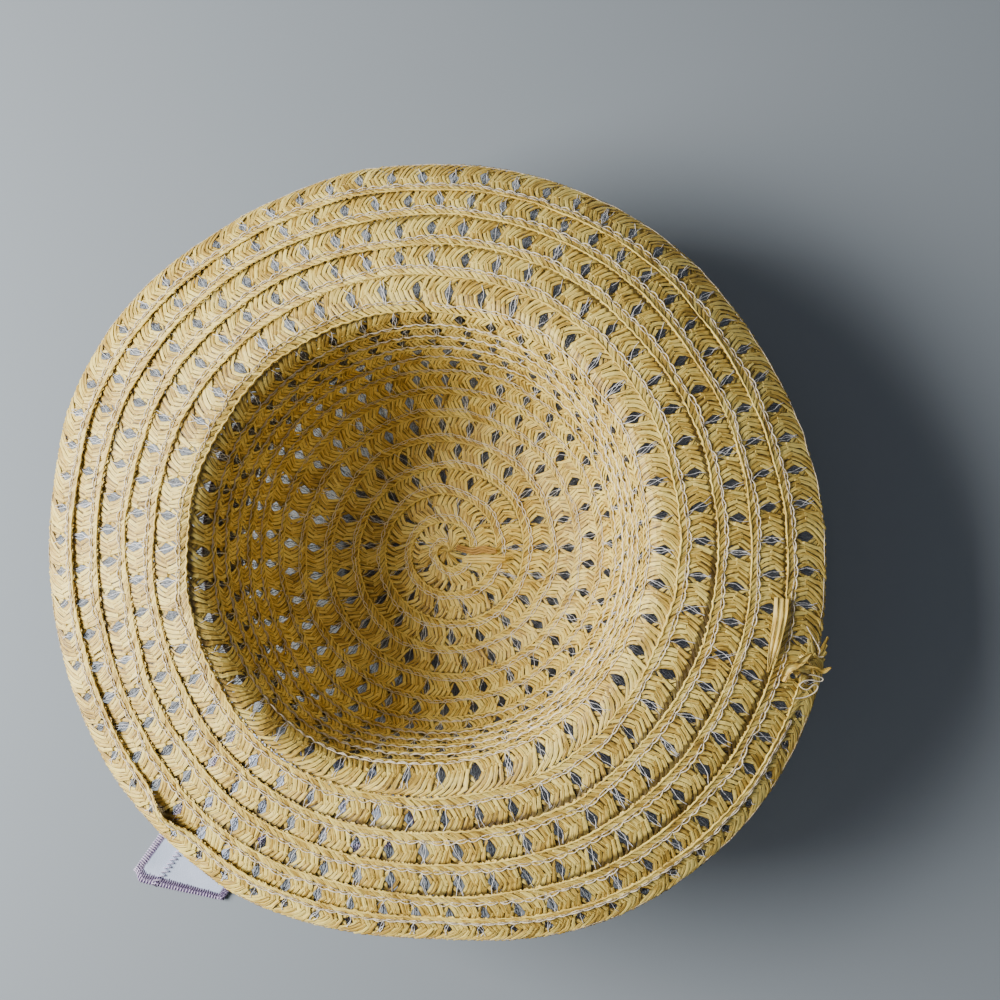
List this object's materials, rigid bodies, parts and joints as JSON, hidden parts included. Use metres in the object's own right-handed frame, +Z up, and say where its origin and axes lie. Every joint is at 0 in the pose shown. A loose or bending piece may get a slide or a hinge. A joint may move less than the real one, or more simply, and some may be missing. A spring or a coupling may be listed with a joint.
{
  "type": "floppy straw hat",
  "caption": "Floppy child's hat sewn in a spiral from plaited paper-straw braid, with a wavy brim and a satin ribbon tied round the crown.",
  "frame": {"origin": "middle of the crown's flat outer face, on the floor, with the hat upside down", "axes": "+Z up out of the head opening; the ribbon's knot and tails leave at about 231 degrees from +X about +Z, the braid ends at about 343 degrees"},
  "size_m": [0.2857, 0.2945, 0.0872],
  "materials": {
    "paper_straw": "plaited paper straw with pale sewing thread",
    "loose_paper": "flat creased paper straw",
    "satin": "white satin ribbon with overlocked edges"
  },
  "bodies": {
    "root": {"crown": "paper_straw", "brim": "paper_straw", "edge_braid": "paper_straw", "start_straw": "loose_paper", "start_straw_2": "loose_paper", "loose_straw": "loose_paper", "frayed_end": "loose_paper", "hatband": "satin", "band_knot": "satin", "ribbon_tail_long": "satin", "ribbon_tail_short": "satin"}
  },
  "joints": []
}
